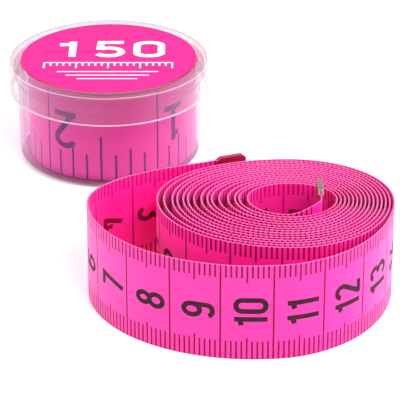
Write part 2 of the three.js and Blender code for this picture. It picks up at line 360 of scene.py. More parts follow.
def maths(tree, operation, a, b):
    node = tree.nodes.new("ShaderNodeMath")
    node.operation = operation
    for socket, value in zip(node.inputs, (a, b)):
        if isinstance(value, (int, float)):
            socket.default_value = value
        else:
            link(tree, value, socket)
    return node.outputs["Value"]


def bump(tree, height, strength, distance):
    node = tree.nodes.new("ShaderNodeBump")
    set_inputs(node, Strength=strength, Distance=distance)
    link(tree, height, node.inputs["Height"])
    return node.outputs["Normal"]


THREADS_PER_METRE = 560
THREAD_SETS = {"Y": ((0.02, 1, 1), 0.6), "X": ((1, 0.02, 1), 0.4)}  # stretch and waviness
STREAK_STRETCH = (40, 1400, 1)
WEAVE_SHARE = 0.35


def woven(tree):
    """Height of the cloth under the coat: fine threads both ways, and long uneven streaks."""
    sets = []
    for direction, (stretch, waviness) in THREAD_SETS.items():
        threads = tree.nodes.new("ShaderNodeTexWave")
        threads.bands_direction = direction
        set_inputs(threads, Scale=THREADS_PER_METRE, Distortion=waviness, Detail=1.0)
        link(tree, mapped(tree, stretch), threads.inputs["Vector"])
        sets.append(threads.outputs["Fac"])
    streaks = noise(tree, mapped(tree, STREAK_STRETCH), scale=1.0, detail=3.0, roughness=0.6)
    weave = maths(tree, "MULTIPLY", maths(tree, "ADD", *sets), WEAVE_SHARE)
    return maths(tree, "ADD", weave, streaks), streaks


def tape_material(name, deep, bright):
    """Pink coat on thin cloth, which lets some light through."""
    material, tree, shader = new_material(name)
    height, streaks = woven(tree)
    link(tree, ramp(tree, streaks, deep, bright), shader.inputs["Base Color"])
    link(tree, bump(tree, height, strength=0.35, distance=0.04 * MM), shader.inputs["Normal"])
    set_inputs(
        shader,
        Roughness=0.42,
        IOR=1.5,
        Subsurface_Weight=0.5,
        Subsurface_Radius=(0.0012, 0.0002, 0.0008),
        Subsurface_Scale=1.0,
        Sheen_Weight=0.3,
        Sheen_Roughness=0.4,
        Sheen_Tint=(1.0, 0.62, 0.95, 1),
    )
    return material


INK_LIFT = 1.5
INK_LEAST_LIFT = 0.004


def ink_material(name, colour):
    """Printed ink, a little lighter in patches."""
    material, tree, shader = new_material(name)
    patches = noise(tree, mapped(tree, EVEN, "Object"), scale=900.0, detail=2.0)
    lighter = tuple(min(1, c * INK_LIFT + INK_LEAST_LIFT) for c in colour)
    link(tree, ramp(tree, patches, colour, lighter, (0.35, 0.75)), shader.inputs["Base Color"])
    set_inputs(shader, Roughness=0.5, IOR=1.25)
    return material


BRUSH_STRETCH = (300, 300, 9000)


def metal_material(name, dull, bright):
    """Thin plated sheet, brushed along the tape's length."""
    material, tree, shader = new_material(name)
    brushed = noise(tree, mapped(tree, BRUSH_STRETCH, "Object"), scale=1.0)
    link(tree, ramp(tree, brushed, dull, bright, (0.3, 0.75)), shader.inputs["Base Color"])
    roughness = tree.nodes.new("ShaderNodeMapRange")
    set_inputs(roughness, To_Min=0.22, To_Max=0.42)
    link(tree, brushed, roughness.inputs["Value"])
    link(tree, roughness.outputs["Result"], shader.inputs["Roughness"])
    link(tree, bump(tree, brushed, strength=0.2, distance=0.02 * MM), shader.inputs["Normal"])
    set_inputs(shader, Metallic=1.0)
    return material


CLEAR_DULLING = 0.94
GRAZING_POWER = 2.4


def clear_material(name, colour, haze, edge_haze):
    """Milky clear plastic: haze is what a face hides seen square on, edge_haze what it adds edge on."""
    material, tree, shader = new_material(name)
    mottle = noise(tree, mapped(tree, EVEN, "Object"), scale=260.0)
    duller = tuple(c * CLEAR_DULLING for c in colour)
    link(tree, ramp(tree, mottle, duller, colour), shader.inputs["Base Color"])
    link(tree, bump(tree, mottle, strength=0.05, distance=0.1 * MM), shader.inputs["Normal"])
    facing = tree.nodes.new("ShaderNodeLayerWeight")
    facing.inputs["Blend"].default_value = 0.5
    grazing = maths(tree, "POWER", facing.outputs["Facing"], GRAZING_POWER)
    hidden = maths(tree, "ADD", maths(tree, "MULTIPLY", grazing, edge_haze), haze)
    link(tree, hidden, shader.inputs["Alpha"])
    set_inputs(shader, Roughness=0.14, IOR=1.45)
    return material


def label_material(name, deep, bright):
    """Printed paper, faintly mottled."""
    material, tree, shader = new_material(name)
    mottle = noise(tree, mapped(tree, EVEN, "Object"), scale=320.0)
    link(tree, ramp(tree, mottle, deep, bright), shader.inputs["Base Color"])
    link(tree, bump(tree, mottle, strength=0.06, distance=0.05 * MM), shader.inputs["Normal"])
    set_inputs(shader, Roughness=0.5, IOR=1.25)
    return material


TAPE_PINK = tape_material("pink_tape", (0.92, 0.005, 0.27), (0.97, 0.013, 0.34))
# Lighter pink on the ribbon's rounded edges: a painted highlight along the tape's edges
TAPE_EDGE_HIGHLIGHT = tape_material("pink_tape_edge_painted_highlight", (0.95, 0.05, 0.28), (1.0, 0.15, 0.42))
# A darker copy of the tape's pink: painted shade on the roll inside the case
CASED_PINK_SHADED = tape_material("cased_pink_tape_painted_shade", (0.56, 0.004, 0.21), (0.65, 0.012, 0.27))
INK = ink_material("dark_ink", (0.026, 0.003, 0.011))
TICK_INK = ink_material("tick_ink", (0.17, 0.001, 0.04))
INNER_INK = ink_material("inner_ink", (0.17, 0.001, 0.022))
INNER_TICK_INK = ink_material("inner_tick_ink", (0.38, 0.002, 0.085))
CASED_INK = ink_material("blue_ink", (0.065, 0.008, 0.085))
METAL = metal_material("tip_metal", (0.32, 0.25, 0.21), (0.5, 0.41, 0.36))
# Metal tinted the tape's pink: a painted reflection of the pink tape in the tips
PINK_REFLECTING_METAL = metal_material("tip_metal_painted_pink_reflection", (0.62, 0.07, 0.17), (0.82, 0.13, 0.27))
CLEAR = clear_material("clear_plastic", (0.4, 0.3, 0.35), 0.07, 0.6)
# Cup wall tinted pink: painted light from the pink tape glowing in the clear wall
WALL_PAINTED_PINK_GLOW = clear_material("wall_plastic_painted_pink_glow", (0.72, 0.24, 0.5), 0.03, 0.7)
# Milky rim whose haze is real, with a pink tint painted in for the pink tape and label seen through it
FROSTED_PAINTED_PINK = clear_material("frosted_plastic_painted_pink", (0.46, 0.2, 0.28), 0.25, 0.7)
# Pink step down to the label: a painted reflection of the label's pink in the plastic
STEP_LABEL_REFLECTION_PLASTIC = clear_material("rim_step_painted_label_reflection", (0.8, 0.03, 0.25), 0.3, 0.3)
# Near-white, hazier plastic along the skirt's cut edge: a painted highlight
SKIRT_PAINTED_HIGHLIGHT_PLASTIC = clear_material("plastic_edge_painted_highlight", (0.95, 0.9, 0.93), 0.62, 0.3)
# Painted highlight in a thin band round the lid's corner
GLINT = clear_material("plastic_turn_painted_highlight", (0.95, 0.9, 0.94), 0.3, 0.3)
# Darker mauve plastic round the foot: painted shade under the roll and at the floor
FOOT_PAINTED_SHADE = clear_material("foot_plastic_painted_shade", (0.3, 0.07, 0.14), 0.65, 0.3)
LABEL = label_material("printed_label", (0.95, 0.007, 0.22), (0.98, 0.011, 0.245))
# Dark maroon on the label's side: the shadow in the recess round the label, painted
LABEL_EDGE_PAINTED_SHADOW = ink_material("label_edge_painted_shadow", (0.2, 0.002, 0.04))
WHITE = ink_material("white_print", (0.86, 0.86, 0.86))


# Meshes
def mesh_object(name, points, faces, materials, indices=None, normals=None, uvs=None):
    """Smooth-shaded object. indices holds a material for each face, normals and uvs one for each point."""
    mesh = bpy.data.meshes.new(name)
    mesh.from_pydata([tuple(p) for p in points], [], faces)
    for material in materials:
        mesh.materials.append(material)
    if indices is not None:
        mesh.polygons.foreach_set("material_index", np.asarray(indices, np.int32))
    mesh.polygons.foreach_set("use_smooth", np.ones(len(mesh.polygons), bool))
    if uvs is not None:
        layer = mesh.uv_layers.new(name="UVMap")
        corners = np.zeros(len(mesh.loops), np.int32)
        mesh.loops.foreach_get("vertex_index", corners)
        layer.data.foreach_set("uv", np.asarray(uvs, np.float32)[corners].ravel())
    mesh.update()
    if normals is not None:
        mesh.normals_split_custom_set_from_vertices([tuple(n) for n in normals])
    obj = bpy.data.objects.new(name, mesh)
    bpy.context.scene.collection.objects.link(obj)
    return obj


def joined(name, groups, materials):
    """One object from groups of small (points, faces) parts, a group for each material."""
    points, faces, indices, start = [], [], [], 0
    for index, parts in enumerate(groups):
        for part_points, part_faces in parts:
            points.append(part_points)
            faces.extend(tuple(i + start for i in face) for face in part_faces)
            indices += [index] * len(part_faces)
            start += len(part_points)
    return mesh_object(name, np.concatenate(points), faces, materials, indices)


# Printed scales. A tick's kind is the place of its reach in the scale's ticks, and a line runs right across
SHORT, HALF, QUARTER_INCH, LINE = range(4)
NO_MARK = -1
CM_SCALE = {
    "step": 1.0,
    "half_every": 5,
    "line_every": 10,
    "ticks": {"top": (2.6, 3.6), "bottom": (3.95, 4.7)},
    "width": 0.38,
    "line_width": 0.36,
}
INCH_SCALE = {
    "step": INCH / 8,
    "half_every": 4,
    "line_every": 8,
    "quarter_every": 2,
    "ticks": {"bottom": (6.0, 10.4, 7.4)},
    "width": 0.5,
    "line_width": 0.42,
}
EDGE = 0.1  # height over which the ribbon's edge rounds off
EDGE_HALF = 0.11
EDGE_CROWN = 0.02
EDGE_LEAN = (0.6, 0.8)
COLUMN_LEAST = 0.02
PINK_FACE, PINK_EDGE_HIGHLIGHT, OUTER_MARK, INNER_MARK = range(4)


def marks_of(scale, length, zero):
    """(centre along the tape, half width, kind) of each mark."""
    marks = []
    for i in range(int(length / scale["step"]) + 2):
        centre = zero + i * scale["step"]
        if not 0 < centre < length:
            continue
        kind = SHORT
        if "quarter_every" in scale and i % scale["quarter_every"] == 0:
            kind = QUARTER_INCH
        if i % scale["half_every"] == 0:
            kind = HALF
        if i % scale["line_every"] == 0:
            kind = LINE
        half = (scale["line_width"] if kind == LINE else scale["width"]) / 2
        marks.append((centre, half, kind))
    return marks


def inked(kinds, scale, z_low, z_high):
    """Which columns are inked between two heights on one face."""
    hit = kinds == LINE
    middle = (z_low + z_high) / 2
    for end, reaches in scale["ticks"].items():
        depth = TAPE_WIDTH - middle if end == "top" else middle
        for kind, reach in enumerate(reaches):
            hit = hit | ((kinds == kind) & (depth < reach))
    return hit


def column_kinds(middles, marks):
    """Kind of the mark that each column between two points lies in."""
    centres, halves, kinds = (np.array(values) for values in zip(*marks))
    above = np.clip(np.searchsorted(centres, middles), 1, len(centres) - 1)
    below_nearer = np.abs(centres[above - 1] - middles) < np.abs(centres[above] - middles)
    near = above - below_nearer
    return np.where(np.abs(centres[near] - middles) < halves[near], kinds[near], NO_MARK)


def ribbon(name, tape, outer, inner, pink, inks):
    """The tape itself, with both faces' lines and ticks inked on it. outer and inner are (scale, zero)."""
    marks = [marks_of(scale, tape.length, zero) for scale, zero in (outer, inner)]
    columns = [np.array([0, tape.length])]
    for face_marks in marks:
        for side in (-1, 1):
            columns.append(np.array([c + side * h for c, h, _ in face_marks]))
    columns = np.sort(np.concatenate(columns))
    columns = columns[(columns >= 0) & (columns <= tape.length)]
    columns = columns[np.concatenate([[True], np.diff(columns) > COLUMN_LEAST])]
    columns[-1] = tape.length

    def levels(scale):
        found = {EDGE, TAPE_WIDTH - EDGE}
        for end, reaches in scale["ticks"].items():
            found |= {TAPE_WIDTH - r if end == "top" else r for r in reaches}
        return sorted(found)

    def edge(z, inward, side):
        """Three points round the ribbon's edge, from its one side to the other."""
        lean_out, lean_up = EDGE_LEAN
        shoulder = z + inward * EDGE_CROWN
        near, far = ((shoulder, s * EDGE_HALF, (s * lean_out, -inward * lean_up)) for s in (side, -side))
        return [near, (z, 0, (0, -inward)), far]

    ring = [(z, TAPE_HALF, (1, 0)) for z in levels(outer[0])]
    ring += edge(TAPE_WIDTH, -1, 1)
    ring += [(z, -TAPE_HALF, (-1, 0)) for z in reversed(levels(inner[0]))]
    ring += edge(0, 1, -1)

    middles = (columns[:-1] + columns[1:]) / 2
    kinds = {"outer": column_kinds(middles, marks[0]), "inner": column_kinds(middles, marks[1])}
    scales = {"outer": outer[0], "inner": inner[0]}
    count, around = len(columns), len(ring)
    points = np.stack([tape.at(columns, z, np.full(count, off)) for z, off, _ in ring], axis=1)
    _, out = tape.frame_at(columns)
    normals = np.zeros((count, around, 3))
    uvs = np.zeros((count, around, 2))
    across = 0
    for k, (z, off, (n_out, n_up)) in enumerate(ring):
        normals[:, k, :2] = out * n_out
        normals[:, k, 2] = n_up
        if k:
            across += math.hypot(z - ring[k - 1][0], off - ring[k - 1][1])
        uvs[:, k, 0] = columns * MM
        uvs[:, k, 1] = across * MM
    normals /= np.linalg.norm(normals, axis=2, keepdims=True)

    start = np.arange(count - 1)[:, None] * around
    k = np.arange(around)[None, :]
    after = (k + 1) % around
    quads = np.stack([start + k, start + after, start + around + after, start + around + k], axis=-1)
    material = np.zeros((count - 1, around), np.int32)
    for j in range(around):
        z0, off0, _ = ring[j]
        z1, off1, _ = ring[(j + 1) % around]
        on_edge = abs(off0 - off1) > SLIGHT or abs(abs(off0) - TAPE_HALF) > SLIGHT
        face = "outer" if off0 + off1 > 0 else "inner"
        hit = inked(kinds[face], scales[face], z0, z1)
        if 0 in (off0, off1):
            hit = np.zeros(count - 1, bool)
        ink = OUTER_MARK if face == "outer" else INNER_MARK
        # Rounded edges and end caps take the lighter pink of the painted edge highlight
        material[:, j] = np.where(hit, ink, PINK_EDGE_HIGHLIGHT if on_edge else PINK_FACE)
    faces = quads.reshape(-1, 4)
    if quad_faces_in(points, quads, out):
        faces = faces[:, ::-1]
    faces = [tuple(f) for f in faces.tolist()]
    material = list(material.ravel())
    for end in (0, (count - 1) * around):
        cap = tuple(range(end, end + around))
        faces.append(cap if end else cap[::-1])
        material.append(PINK_EDGE_HIGHLIGHT)
    return mesh_object(
        name,
        points.reshape(-1, 3),
        faces,
        [pink, TAPE_EDGE_HIGHLIGHT, *inks],
        material,
        normals.reshape(-1, 3),
        uvs.reshape(-1, 2),
    )


def quad_faces_in(points, quads, out):
    """True if the first quad of the outer face points inward."""
    a, b, c, _ = points.reshape(-1, 3)[quads[0, 0]]
    normal = np.cross(b - a, c - a)
    return normal[:2] @ out[0] < 0


# Numerals, drawn as strokes of a pen, each numeral in a box of its own
DIGIT_WIDTH = 2.35
DIGIT_HEIGHT = 5.6
STROKE = 1.0
INCH_DIGIT_WIDTH = 4.3
INCH_DIGIT_HEIGHT = 7.45
INCH_STROKE = 1.25
PRINT_DEPTH = 0.03
PRINT_STAGGER = 0.004
STROKE_STEP = 0.55


def arc(cx, cy, rx, ry, start, end, steps=14):
    angles = np.radians(np.linspace(start, end, steps + 1))
    return [(cx + rx * math.cos(a), cy + ry * math.sin(a)) for a in angles]


def digit_strokes():
    """Pen strokes of each numeral in shares of its box: x 0 to 1 across, y 0 to 1 up."""
    bend = 0.21
    return {
        "0": [arc(0.5, 1 - bend, 0.5, bend, 0, 180) + arc(0.5, bend, 0.5, bend, 180, 360) + [(1, 1 - bend)]],
        "1": [[(0.62, 1.06), (0.62, -0.06)], [(0.08, 0.81), (0.62, 0.88)]],
        "2": [arc(0.5, 0.77, 0.5, 0.23, 165, -25) + [(0.12, 0.04)], [(-0.12, 0.0), (1.12, 0.0)]],
        "3": [arc(0.48, 0.765, 0.47, 0.235, 155, -75) + arc(0.48, 0.265, 0.52, 0.265, 75, -155)],
        "4": [[(0.62, 1.05), (0.02, 0.3)], [(-0.18, 0.27), (1.2, 0.27)], [(0.78, 0.62), (0.78, -0.06)]],
        "5": [
            [(1.06, 1.0), (0.0, 1.0)],
            [(0.14, 1.04), (0.1, 0.46)],
            arc(0.48, 0.29, 0.52, 0.29, 128, -150),
        ],
        "6": [
            arc(0.5, 1 - bend, 0.5, bend, 20, 180)
            + [(0, 0.3)]
            + arc(0.5, 0.28, 0.5, 0.28, 180, 360)
            + arc(0.5, 0.28, 0.5, 0.28, 0, 165)
        ],
        "7": [[(-0.12, 1.0), (1.16, 1.0)], [(0.94, 0.98), (0.36, -0.08)]],
        "8": [arc(0.5, 0.76, 0.44, 0.24, -90, 270, 20), arc(0.5, 0.26, 0.52, 0.26, -90, 270, 20)],
        "9": [
            arc(0.5, bend, 0.5, bend, 200, 360)
            + [(1, 0.7)]
            + arc(0.5, 0.72, 0.5, 0.28, 0, 180)
            + arc(0.5, 0.72, 0.5, 0.28, 180, 345)
        ],
    }


FOOTED_ONE = {"1": [[(0.5, 1.06), (0.5, 0.0)], [(0.1, 0.83), (0.5, 0.9)], [(-0.1, 0.0), (1.1, 0.0)]]}


def resampled(line, step):
    """Points along a line at most a step apart, with its corners kept."""
    points = [np.array(line[0], float)]
    for target in line[1:]:
        target = np.array(target, float)
        start = points[-1]
        run = np.linalg.norm(target - start)
        if run < SLIGHT:
            continue
        count = math.ceil(run / step)
        for i in range(1, count + 1):
            points.append(start + (target - start) * i / count)
    return np.array(points)


MITRE_LEAST = 0.45


def stroke_outline(line, half):
    """Left and right edges of a pen stroke, mitred at its bends."""
    closed = np.linalg.norm(line[0] - line[-1]) < SLIGHT
    runs = np.diff(line, axis=0)
    runs /= np.linalg.norm(runs, axis=1)[:, None]
    before = np.vstack([runs[-1:] if closed else runs[:1], runs])
    after = np.vstack([runs, runs[:1] if closed else runs[-1:]])
    mean = before + after
    mean /= np.linalg.norm(mean, axis=1)[:, None]
    stretch = 1 / np.maximum((mean * before).sum(axis=1), MITRE_LEAST)
    side = np.stack([-mean[:, 1], mean[:, 0]], axis=1) * (half * stretch)[:, None]
    return line + side, line - side


def glyph_parts(width, height, stroke, step, changes=None):
    """For each numeral, its strokes as (left edge, right edge) in millimetres from its box's middle."""
    parts = {}
    for digit, strokes in (digit_strokes() | (changes or {})).items():
        parts[digit] = []
        for line in strokes:
            scaled = [((x - 0.5) * width, (y - 0.5) * height) for x, y in line]
            parts[digit].append(stroke_outline(resampled(scaled, step), stroke / 2))
    return parts


def films(strokes, place):
    """One layer of ink for each stroke, each a hair higher than the last, so no two share a face."""
    return [film(*edges, place, PRINT_DEPTH / 2 + PRINT_STAGGER * i) for i, edges in enumerate(strokes)]


def film(left, right, place, height):
    """Thin closed layer of ink between two edges. place(edge, depth) sets an edge at its depth."""
    count = len(left)
    depths = (height, -PRINT_DEPTH / 2)
    points = np.concatenate([place(edge, depth) for edge in (left, right) for depth in depths])
    left_top, left_low, right_top, right_low = (k * count for k in range(4))
    faces = []
    for j in range(count - 1):
        faces.append((left_top + j, left_top + j + 1, right_top + j + 1, right_top + j))
        faces.append((left_low + j, right_low + j, right_low + j + 1, left_low + j + 1))
        faces.append((left_top + j, left_low + j, left_low + j + 1, left_top + j + 1))
        faces.append((right_top + j, right_top + j + 1, right_low + j + 1, right_low + j))
    for j, flip in ((0, False), (count - 1, True)):
        cap = (left_top + j, right_top + j, right_low + j, left_low + j)
        faces.append(cap[::-1] if flip else cap)
    a, b, c = points[left_top], points[left_top + 1], points[right_top + 1]
    if np.cross(b - a, c - a) @ (a - points[left_low]) < 0:
        faces = [f[::-1] for f in faces]
    return points, faces


def print_number(tape, text, centre, side, reading, up, glyphs, advance, z_middle):
    """Ink of a number. reading and up are (along, z) directions of the text on the face."""
    parts = []
    for i, digit in enumerate(text):
        shift = (i - (len(text) - 1) / 2) * advance

        def place(edge, depth):
            x, y = edge[:, 0] + shift, edge[:, 1]
            s = centre + x * reading[0] + y * up[0]
            z = z_middle + x * reading[1] + y * up[1]
            return tape.at(s, z, np.full(len(edge), side * (TAPE_HALF + depth)))

        parts += films(glyphs[digit], place)
    return parts


def flat_shaded(obj):
    obj.data.polygons.foreach_set("use_smooth", np.zeros(len(obj.data.polygons), bool))
    return obj


# How far the scales' zeros lie from the tape's outer end
TIP_ZERO = -(TIP_SHEET + TIP_END_CLEAR)
CM_EARLY = 10.3
CM_INNER_EARLY = 5.3
CM_OUTER = (CM_SCALE, TIP_ZERO - CM_EARLY)
CM_INNER = (CM_SCALE, TIP_ZERO - CM_INNER_EARLY)
INCH_OUTER = (INCH_SCALE, TIP_ZERO)

loose_tape = ribbon("loose_ribbon", loose, CM_OUTER, CM_INNER, TAPE_PINK, (TICK_INK, INNER_TICK_INK))
cased_tape = ribbon("cased_ribbon", cased, INCH_OUTER, CM_INNER, CASED_PINK_SHADED, (CASED_INK, CASED_INK))

DIGITS = glyph_parts(DIGIT_WIDTH, DIGIT_HEIGHT, STROKE, STROKE_STEP)
INCH_DIGITS = glyph_parts(INCH_DIGIT_WIDTH, INCH_DIGIT_HEIGHT, INCH_STROKE, STROKE_STEP, FOOTED_ONE)
CM_ADVANCE = 3.15
INCH_ADVANCE = 5.7
NUMBER_LEAN = 0.7  # by which a number stands nearer its line than the cell's middle
INCH_NUMBER_BACK = 4.5
INCH_NUMBER_MIDDLE = 11
INNER_NUMBER_MIDDLE = 10.8
CM_NUMBER_MARGIN = 10
INCH_NUMBER_MARGIN = 9


def cm_numbers(tape, side, zero, middle):
    """Numbers of one face, 1 for the outer and -1 for the inner one, each before its own line."""
    parts = []
    for number in range(1, int(tape.length / CM) + 2):
        centre = zero + number * CM - CM / 2 + NUMBER_LEAN
        if CM_NUMBER_MARGIN < centre < tape.length - CM_NUMBER_MARGIN:
            place = centre, side, (0, side), (-1, 0)
            parts += print_number(tape, str(number), *place, DIGITS, CM_ADVANCE, middle)
    return parts


def inch_numbers(tape):
    parts = []
    for number in range(1, int(tape.length / INCH) + 1):
        centre = TIP_ZERO + number * INCH - INCH_NUMBER_BACK
        if INCH_NUMBER_MARGIN < centre < tape.length - INCH_NUMBER_MARGIN:
            place = centre, 1, (1, 0), (0, -1)
            parts += print_number(tape, str(number), *place, INCH_DIGITS, INCH_ADVANCE, INCH_NUMBER_MIDDLE)
    return parts


outer_numbers = cm_numbers(loose, 1, CM_OUTER[1], TAPE_WIDTH / 2)
inner_numbers = cm_numbers(loose, -1, CM_INNER[1], INNER_NUMBER_MIDDLE)
loose_print = flat_shaded(joined("loose_numerals", [outer_numbers, inner_numbers], [INK, INNER_INK]))
cased_print = flat_shaded(
    joined(
        "cased_numerals",
        [cm_numbers(cased, -1, CM_INNER[1], INNER_NUMBER_MIDDLE) + inch_numbers(cased)],
        [CASED_INK],
    )
)


# Metal tips
PINCH = 0.15  # height over which a tip's top and bottom are pinched shut
PINCHED_SLOT = 0.002
RIM_ROUND = 0.06
BEND_STEPS = 4
HEADING_SHARE = 0.9  # of the tape's length inside the tip, over which its direction is taken


def tip(name, tape, at_outer_end, raise_by):
    """Folded strip crimped over the tape's end, its corners cut off and its edges softened."""
    end = 0 if at_outer_end else tape.length
    inward = 1 if at_outer_end else -1
    here, out = tape.frame_at([end])
    there, _ = tape.frame_at([end + inward * TIP_GRIP * HEADING_SHARE])
    heading = here[0] - there[0]
    heading /= np.linalg.norm(heading)
    side = np.array([-heading[1], heading[0]])
    fold = here[0] + heading * (TIP_END_CLEAR + TIP_SHEET)
    slot = TAPE_HALF + TIP_CLEAR
    outer = slot + TIP_SHEET
    plan = []
    cuts = (-TIP_LENGTH + TIP_CORNER[0], -TIP_CORNER[0])
    for sign in (1, -1):
        run = [(-TIP_LENGTH, slot), (-TIP_LENGTH, outer)]
        run += [(x, outer) for x in cuts]
        for i in range(1, BEND_STEPS + 1):
            a = RIGHT_ANGLE * i / BEND_STEPS
            run.append((-TIP_SHEET + TIP_SHEET * math.sin(a), slot + TIP_SHEET * math.cos(a)))
        if sign < 0:
            run = run[::-1]
        plan += [(x, y * sign) for x, y in run]
    plan += [(x, -slot) for x in (*cuts, -TIP_SHEET)]
    plan += [(x, slot) for x in (-TIP_SHEET, *cuts[::-1])]
    plan = np.array(plan)
    height = TAPE_WIDTH + 2 * TIP_LIP
    low = []
    for x, _ in plan:
        near = min(-x, TIP_LENGTH + x)
        low.append(TIP_CORNER[1] * max(0, 1 - near / TIP_CORNER[0]))
    low = np.array(low)
    base = tape.bottom + float(tape.rise_at(end)) + raise_by - TIP_LIP
    across = np.sign(plan[:, 1]) * (np.abs(plan[:, 1]) - slot + PINCHED_SLOT)
    across = np.where(plan[:, 0] > -TIP_LENGTH, across, plan[:, 1])
    levels = []
    for z, y in ((low, plan[:, 1]), (height - low - PINCH, plan[:, 1]), (height - low, across)):
        xy = fold + plan[:, :1] * heading + y[:, None] * side
        levels.append(np.concatenate([xy, (base + z)[:, None]], axis=1) * MM)
    points = np.concatenate(levels)
    count = len(plan)
    faces = []
    for start in (0, count):
        for i in range(count):
            j = (i + 1) % count
            faces.append((start + i, start + j, start + count + j, start + count + i))
    slots = 2 * (len(cuts) + 1)
    half = (count - slots) // 2
    left = list(range(half))
    right = list(range(2 * half - 1, half - 1, -1))
    in_right = list(range(2 * half, 2 * half + slots // 2))
    in_left = list(range(count - 1, count - 1 - slots // 2, -1))
    for outside, inside, flip in ((left, in_left, False), (right, in_right, True)):
        caps = [(outside[0], *outside[1:3], inside[0])]
        caps.append((inside[0], *outside[2:4], inside[1]))
        caps.append((inside[1], *outside[3:], inside[2]))
        if flip:
            caps = [cap[::-1] for cap in caps]
        else:
            caps.append((in_left[-1], left[-1], right[-1], in_right[-1]))
        for cap in caps:
            faces.append(cap[::-1])
            faces.append(tuple(2 * count + i for i in cap))
    # The tips' broad sides take the metal with the painted pink reflection; on the inner tips the pinched
    # band and the top and bottom stay bare metal
    rims = [int(at_outer_end)] * (len(faces) - count)
    obj = flat_shaded(mesh_object(name, points, faces, [METAL, PINK_REFLECTING_METAL], [1] * count + rims))
    soften_rims(obj, count, np.abs(plan[:, 1]) < slot + PINCHED_SLOT)
    return obj


def soften_rims(obj, count, in_slot):
    """Rounds the tip's top and bottom rims, but not its slot, whose lips would part again."""
    mesh = obj.data
    ends = np.zeros(2 * len(mesh.edges), np.int32)
    mesh.edges.foreach_get("vertices", ends)
    ends = ends.reshape(-1, 2)
    level, place = ends // count, ends % count
    rim = (level[:, 0] == level[:, 1]) & (level[:, 0] != 1) & ~in_slot[place].any(axis=1)
    weights = mesh.attributes.new("bevel_weight_edge", "FLOAT", "EDGE")
    weights.data.foreach_set("value", rim.astype(np.float32))
    bevel = obj.modifiers.new("soft_edges", "BEVEL")
    bevel.width = RIM_ROUND * MM
    bevel.segments = 2
    bevel.limit_method = "WEIGHT"


TIPS = {
    "loose_inner": (loose, False, LOOSE_TIP_RAISE, "loose_tape_inner_tip", "loose_coil"),
    "loose_outer": (loose, True, LOOSE_TIP_RAISE, "loose_tape_outer_tip", "loose_coil"),
    "cased_inner": (cased, False, 0, "cased_tape_inner_tip", "cased_roll"),
    "cased_outer": (cased, True, 0, "cased_tape_outer_tip", "cased_roll"),
}
tips = {}
for key, (tape, outer_end, raise_by, node, body) in TIPS.items():
    tips[key] = tip(key + "_metal", tape, outer_end, raise_by)
    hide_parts(node)
    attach(tips[key], body)


# Case
ROUND_SEGMENTS = 160
ARC_STEPS = 8
EDGE_ARC_STEPS = 4
BEAD_STEPS = 12
CREASE_DEG = 32
FOOT_TOP = 1.3
SKIRT_EDGE = 0.16


def lathe(name, profile, materials, index_of):
    """Closed body of revolution about the case's axis; its profile starts and ends on the axis.

    index_of gives the material between two points of the profile.
    """
    profile = np.array(profile, float)
    angles = np.arange(ROUND_SEGMENTS) / ROUND_SEGMENTS * 2 * math.pi
    inner = profile[1:-1]
    rings = np.stack(
        [
            np.outer(inner[:, 0], np.cos(angles)),
            np.outer(inner[:, 0], np.sin(angles)),
            np.repeat(inner[:, 1:], ROUND_SEGMENTS, axis=1),
        ],
        axis=-1,
    ).reshape(-1, 3)
    points = np.concatenate([rings, [(0, 0, profile[0, 1]), (0, 0, profile[-1, 1])]]) * MM
    first, last = len(rings), len(rings) + 1
    n, faces, indices = ROUND_SEGMENTS, [], []
    for i in range(n):
        faces.append((first, (i + 1) % n, i))
        indices.append(index_of(profile[0], profile[1]))
        base = (len(inner) - 1) * n
        faces.append((last, base + i, base + (i + 1) % n))
        indices.append(index_of(profile[-2], profile[-1]))
    for k in range(len(inner) - 1):
        index = index_of(inner[k], inner[k + 1])
        for i in range(n):
            a, b = k * n + i, k * n + (i + 1) % n
            faces.append((a, b, b + n, a + n))
            indices.append(index)
    obj = mesh_object(name, points, faces, materials, indices)
    obj.data.set_sharp_from_angle(angle=math.radians(CREASE_DEG))
    return obj


def rounded(profile, x, z, radius, start, end, per_quarter=ARC_STEPS):
    """Adds an arc about (x, z); start and end are in quarter turns."""
    steps = per_quarter * abs(end - start)
    for i in range(steps + 1):
        a = RIGHT_ANGLE * (start + (end - start) * i / steps)
        profile.append((x + radius * math.cos(a), z + radius * math.sin(a)))


def case_base():
    """Cup with a rounded foot, and round its neck the ring that the lid snaps over."""
    neck = CASE_RADIUS - NECK_STEP
    neck_start = SKIRT_BOTTOM - NECK_STEP
    bead_z = RIM_TOP - BEAD_BELOW_RIM
    bead_height = LID_INNER_RADIUS - SEAT_GAP - neck
    inner = CASE_RADIUS - CASE_WALL
    lip = (neck - inner) / 2
    profile = [(0, 0)]
    rounded(profile, CASE_RADIUS - CASE_FOOT_FILLET, CASE_FOOT_FILLET, CASE_FOOT_FILLET, -1, 0)
    profile += [(CASE_RADIUS, neck_start), (neck, neck_start + NECK_STEP)]
    for i in range(BEAD_STEPS + 1):
        share = 2 * i / BEAD_STEPS - 1
        profile.append((neck + bead_height * math.sqrt(1 - share**2), bead_z + share * BEAD_HALF_WIDTH))
    rounded(profile, neck - lip, RIM_TOP - lip, lip, 0, 2)
    fillet = CASE_INNER_FILLET
    rounded(profile, inner - fillet, CASE_FLOOR + fillet, fillet, 0, -1)
    profile.append((0, CASE_FLOOR))

    # The foot, up to FOOT_TOP, takes the plastic with painted shade
    def in_foot(a, b):
        return int(max(a[1], b[1]) < FOOT_TOP)

    return lathe("case_cup", profile, [WALL_PAINTED_PINK_GLOW, FOOT_PAINTED_SHADE], in_foot)


